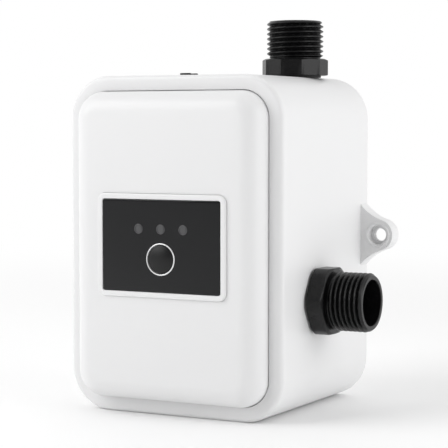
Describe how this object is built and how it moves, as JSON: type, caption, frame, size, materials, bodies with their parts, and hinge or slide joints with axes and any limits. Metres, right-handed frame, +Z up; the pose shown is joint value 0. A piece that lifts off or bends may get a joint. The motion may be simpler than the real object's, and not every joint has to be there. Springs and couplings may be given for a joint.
{
  "type": "shower pump",
  "caption": "Compact inline booster pump for a shower: white box housing, front control panel with a push button, black threaded inlet and outlet.",
  "frame": {"origin": "centre of the flat base that the pump stands on, at mid width and mid depth of the housing", "axes": "+X towards the side inlet, +Y towards the back, +Z up towards the top outlet"},
  "size_m": [0.1197, 0.084, 0.1418],
  "materials": {
    "white_shell": "satin",
    "soft_rubber": "matte",
    "steel": "satin",
    "gloss_black": "gloss",
    "grey_lens": "gloss",
    "ring": "polished",
    "button_black": "satin",
    "fitting_black": "satin",
    "board": "satin",
    "board_light": "gloss",
    "plug_cream": "satin",
    "lead_red": "satin",
    "lead_blue": "satin",
    "lead_yellow": "satin",
    "nut_black": "matte",
    "pump_plastic": "matte",
    "impeller_white": "satin",
    "magnet": "satin",
    "carbon": "matte",
    "ceramic": "polished",
    "can_grey": "satin",
    "core_steel": "laminated",
    "copper": "satin",
    "bracket_steel": "zinc plated",
    "sensor_grey": "satin"
  },
  "bodies": {
    "housing": {"rear_housing": "white_shell", "front_cover": "white_shell", "cover_seal": "soft_rubber", "cover_screws": "steel", "bezel_frame": "white_shell", "control_plate": "gloss_black", "indicator_lenses": "grey_lens", "button_ring": "ring", "button_spring": "steel", "tact_switch": "steel", "control_board": "board", "board_lights": "board_light", "board_plugs": "plug_cream", "board_screws": "steel", "power_socket": "fitting_black", "power_socket_nut": "steel", "power_leads": "lead_red", "inlet_fitting": "fitting_black", "inlet_washer": "soft_rubber", "inlet_nut": "nut_black", "inlet_strainer": "steel", "outlet_fitting": "fitting_black", "outlet_washer": "soft_rubber", "outlet_nut": "nut_black", "pump_casing": "pump_plastic", "casing_cover": "pump_plastic", "casing_seal": "soft_rubber", "casing_screws": "steel", "pump_shaft": "ceramic", "separating_can": "can_grey", "stator_core": "core_steel", "stator_coils": "copper", "motor_shell": "pump_plastic", "motor_end_cap": "pump_plastic", "motor_leads": "lead_blue", "pump_bracket": "bracket_steel", "bracket_grommets": "soft_rubber", "bracket_screws": "steel", "stub_seals": "soft_rubber", "sensor_body": "sensor_grey", "turbine_axle": "steel", "sensor_pickup": "board", "sensor_leads": "lead_yellow"},
    "button": {"power_button": "button_black"},
    "plunger": {"switch_plunger": "fitting_black"},
    "rotor": {"impeller": "impeller_white", "rotor_magnet": "magnet", "rotor_bushes": "carbon"},
    "turbine": {"sensor_turbine": "impeller_white"}
  },
  "joints": [
    {"name": "button_press", "type": "slide", "parent": "housing", "child": "button", "axis": [0, 1, 0], "range_m": [0, 0.0008], "stiffness_N_per_m": 800, "springref_m": -0.001, "deforming": ["button_spring"]},
    {"name": "plunger_press", "type": "slide", "parent": "housing", "child": "plunger", "axis": [0, 1, 0], "range_m": [0, 0.001]},
    {"name": "rotor_spin", "type": "hinge", "parent": "housing", "child": "rotor", "pos_m": [0.0225, -0.008, 0.041], "axis": [1, 0, 0], "continuous": true},
    {"name": "turbine_spin", "type": "hinge", "parent": "housing", "child": "turbine", "pos_m": [0.0225, 0.015, 0.085], "axis": [0, 0, 1], "continuous": true}
  ],
  "couplings": [
    {"joint": "plunger_press", "follows": "button_press", "ratio": 1}
  ]
}
